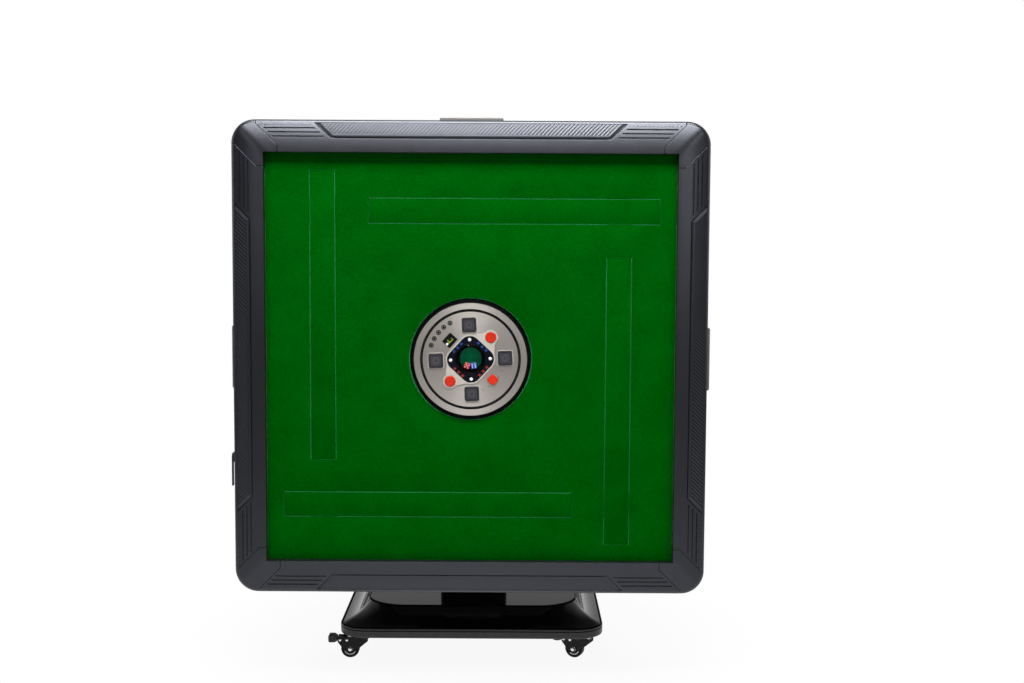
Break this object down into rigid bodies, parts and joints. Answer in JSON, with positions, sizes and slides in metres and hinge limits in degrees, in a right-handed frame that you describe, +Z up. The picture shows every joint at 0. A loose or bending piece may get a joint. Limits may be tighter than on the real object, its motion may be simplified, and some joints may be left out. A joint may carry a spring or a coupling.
{
  "type": "mahjong table",
  "caption": "Powered mahjong table that folds upright on a castored pedestal, with a drawer in each side, tile lifts and a lifting dice console.",
  "frame": {"origin": "on the floor under the middle of the folded table's overall box", "axes": "+Z up; the folded playing surface faces -Y; +X to the right of a viewer facing it"},
  "size_m": [0.9984, 0.615, 1.165],
  "materials": {
    "frame_plastic": "satin moulded charcoal plastic",
    "cloth": "short green nap",
    "board": "medium-density fibreboard",
    "machine_black": "fine-grained black",
    "gloss_black": "high gloss",
    "black_steel": "black powder coat",
    "bright_steel": "zinc plated",
    "rubber": "matt",
    "wheel": "black nylon and rubber",
    "drawer_grey": "silver grey",
    "console_metal": "champagne, brushed round",
    "chrome": "polished",
    "seat_button": "satin grey",
    "orange_button": "satin orange red",
    "bowl_felt": "green felt",
    "clear": "clear moulded",
    "dice": "two-colour moulded",
    "display": "dark window",
    "inner_white": "natural moulded"
  },
  "bodies": {
    "base": {"base_plate": "black_steel", "base_skirt": "gloss_black", "base_cover": "gloss_black", "column": "black_steel", "support_head": "black_steel", "rest_pads": "rubber", "hinge_pin": "bright_steel", "caster_plates": "bright_steel"},
    "table": {"hinge_leaf": "black_steel", "machine_pan": "machine_black", "bottom_cover": "machine_black", "power_inlet": "machine_black", "frame_corner_caps": "frame_plastic", "tabletop_board": "board", "playing_cloth": "cloth", "drawer_sleeves": "machine_black", "mixing_drum": "inner_white", "console_guide": "inner_white", "turntable_motor": "bright_steel", "frame_rail_rear": "frame_plastic", "frame_rail_right": "frame_plastic", "frame_rail_front": "frame_plastic", "frame_rail_left": "frame_plastic"},
    "turntable": {"turntable": "inner_white"},
    "drive_roller": {"drive_roller": "rubber"},
    "fold_lever": {"fold_lever": "machine_black"},
    "console": {"console_housing": "gloss_black", "console_plate": "console_metal", "console_trim": "chrome", "display_window": "display", "dice_bezel": "gloss_black", "dice_bowl": "gloss_black", "dice_dome": "clear", "dice_pair": "dice"},
    "dice_platform": {"dice_platform": "bowl_felt"},
    "drawer_rear": {"drawer_rear": "drawer_grey"},
    "tile_lift_rear": {"tile_lift_rear": "cloth"},
    "drawer_right": {"drawer_right": "drawer_grey"},
    "tile_lift_right": {"tile_lift_right": "cloth"},
    "drawer_front": {"drawer_front": "drawer_grey"},
    "tile_lift_front": {"tile_lift_front": "cloth"},
    "drawer_left": {"drawer_left": "drawer_grey"},
    "tile_lift_left": {"tile_lift_left": "cloth"},
    "seat_button_rear": {"seat_button_rear": "seat_button"},
    "seat_button_right": {"seat_button_right": "seat_button"},
    "seat_button_front": {"seat_button_front": "seat_button"},
    "seat_button_left": {"seat_button_left": "seat_button"},
    "dice_button_right": {"dice_button_right": "orange_button"},
    "dice_button_left": {"dice_button_left": "orange_button"},
    "mode_button": {"mode_button": "orange_button"},
    "caster_front_left": {"caster_fork_front_left": "black_steel"},
    "wheel_front_left": {"caster_wheel_front_left": "wheel"},
    "brake_front_left": {"brake_pedal_front_left": "machine_black"},
    "caster_front_right": {"caster_fork_front_right": "black_steel"},
    "wheel_front_right": {"caster_wheel_front_right": "wheel"},
    "brake_front_right": {"brake_pedal_front_right": "machine_black"},
    "caster_rear_left": {"caster_fork_rear_left": "black_steel"},
    "wheel_rear_left": {"caster_wheel_rear_left": "wheel"},
    "caster_rear_right": {"caster_fork_rear_right": "black_steel"},
    "wheel_rear_right": {"caster_wheel_rear_right": "wheel"}
  },
  "joints": [
    {"name": "table_fold", "type": "hinge", "parent": "base", "child": "table", "pos_m": [0, -0.0725, 0.54], "axis": [1, 0, 0], "range_deg": [-90, 0]},
    {"name": "turntable_spin", "type": "hinge", "parent": "table", "child": "turntable", "pos_m": [0, -0.3075, 0.67], "axis": [0, -1, 0], "continuous": true},
    {"name": "roller_spin", "type": "hinge", "parent": "table", "child": "drive_roller", "pos_m": [0.18194, -0.3075, 0.85194], "axis": [0, -1, 0], "continuous": true},
    {"name": "console_lift", "type": "slide", "parent": "table", "child": "console", "axis": [0, -1, 0], "range_m": [0, 0.07]},
    {"name": "dice_spin", "type": "hinge", "parent": "console", "child": "dice_platform", "pos_m": [0, -0.3075, 0.67], "axis": [0, -1, 0], "continuous": true},
    {"name": "fold_lever_pull", "type": "hinge", "parent": "table", "child": "fold_lever", "pos_m": [-0.494, -0.3075, 0.458], "axis": [0, 1, 0], "range_deg": [0, 35]},
    {"name": "drawer_rear_slide", "type": "slide", "parent": "table", "child": "drawer_rear", "axis": [0, 0, 1], "range_m": [0, 0.09]},
    {"name": "tile_lift_rear_travel", "type": "slide", "parent": "table", "child": "tile_lift_rear", "axis": [0, 1, 0], "range_m": [0, 0.056]},
    {"name": "drawer_right_slide", "type": "slide", "parent": "table", "child": "drawer_right", "axis": [1, 0, 0], "range_m": [0, 0.09]},
    {"name": "tile_lift_right_travel", "type": "slide", "parent": "table", "child": "tile_lift_right", "axis": [0, 1, 0], "range_m": [0, 0.056]},
    {"name": "drawer_front_slide", "type": "slide", "parent": "table", "child": "drawer_front", "axis": [0, 0, -1], "range_m": [0, 0.09]},
    {"name": "tile_lift_front_travel", "type": "slide", "parent": "table", "child": "tile_lift_front", "axis": [0, 1, 0], "range_m": [0, 0.056]},
    {"name": "drawer_left_slide", "type": "slide", "parent": "table", "child": "drawer_left", "axis": [-1, 0, 0], "range_m": [0, 0.09]},
    {"name": "tile_lift_left_travel", "type": "slide", "parent": "table", "child": "tile_lift_left", "axis": [0, 1, 0], "range_m": [0, 0.056]},
    {"name": "seat_button_rear_press", "type": "slide", "parent": "console", "child": "seat_button_rear", "axis": [0, 1, 0], "range_m": [0, 0.0025], "stiffness_N_per_m": 600},
    {"name": "seat_button_right_press", "type": "slide", "parent": "console", "child": "seat_button_right", "axis": [0, 1, 0], "range_m": [0, 0.0025], "stiffness_N_per_m": 600},
    {"name": "seat_button_front_press", "type": "slide", "parent": "console", "child": "seat_button_front", "axis": [0, 1, 0], "range_m": [0, 0.0025], "stiffness_N_per_m": 600},
    {"name": "seat_button_left_press", "type": "slide", "parent": "console", "child": "seat_button_left", "axis": [0, 1, 0], "range_m": [0, 0.0025], "stiffness_N_per_m": 600},
    {"name": "dice_button_right_press", "type": "slide", "parent": "console", "child": "dice_button_right", "axis": [0, 1, 0], "range_m": [0, 0.0025], "stiffness_N_per_m": 600},
    {"name": "dice_button_left_press", "type": "slide", "parent": "console", "child": "dice_button_left", "axis": [0, 1, 0], "range_m": [0, 0.0025], "stiffness_N_per_m": 600},
    {"name": "mode_button_press", "type": "slide", "parent": "console", "child": "mode_button", "axis": [0, 1, 0], "range_m": [0, 0.0025], "stiffness_N_per_m": 600},
    {"name": "caster_front_left_swivel", "type": "hinge", "parent": "base", "child": "caster_front_left", "pos_m": [-0.245, -0.1465, 0], "axis": [0, 0, 1], "continuous": true},
    {"name": "wheel_front_left_roll", "type": "hinge", "parent": "caster_front_left", "child": "wheel_front_left", "pos_m": [-0.265, -0.1465, 0.02], "axis": [0, 1, 0], "continuous": true},
    {"name": "brake_front_left_press", "type": "hinge", "parent": "caster_front_left", "child": "brake_front_left", "pos_m": [-0.287, -0.1465, 0.04], "axis": [0, 1, 0], "range_deg": [-14, 0]},
    {"name": "caster_front_right_swivel", "type": "hinge", "parent": "base", "child": "caster_front_right", "pos_m": [0.245, -0.1465, 0], "axis": [0, 0, 1], "continuous": true},
    {"name": "wheel_front_right_roll", "type": "hinge", "parent": "caster_front_right", "child": "wheel_front_right", "pos_m": [0.22673, -0.13836, 0.02], "axis": [0.4067, 0.9135, 0], "continuous": true},
    {"name": "brake_front_right_press", "type": "hinge", "parent": "caster_front_right", "child": "brake_front_right", "pos_m": [0.20663, -0.12942, 0.04], "axis": [0.4067, 0.9135, 0], "range_deg": [-14, 0]},
    {"name": "caster_rear_left_swivel", "type": "hinge", "parent": "base", "child": "caster_rear_left", "pos_m": [-0.245, 0.2615, 0], "axis": [0, 0, 1], "continuous": true},
    {"name": "wheel_rear_left_roll", "type": "hinge", "parent": "caster_rear_left", "child": "wheel_rear_left", "pos_m": [-0.26481, 0.25872, 0.02], "axis": [-0.1392, 0.9903, 0], "continuous": true},
    {"name": "caster_rear_right_swivel", "type": "hinge", "parent": "base", "child": "caster_rear_right", "pos_m": [0.245, 0.2615, 0], "axis": [0, 0, 1], "continuous": true},
    {"name": "wheel_rear_right_roll", "type": "hinge", "parent": "caster_rear_right", "child": "wheel_rear_right", "pos_m": [0.22544, 0.26566, 0.02], "axis": [0.2079, 0.9781, 0], "continuous": true}
  ],
  "couplings": [
    {"joint": "roller_spin", "follows": "turntable_spin", "ratio": -11.85}
  ]
}
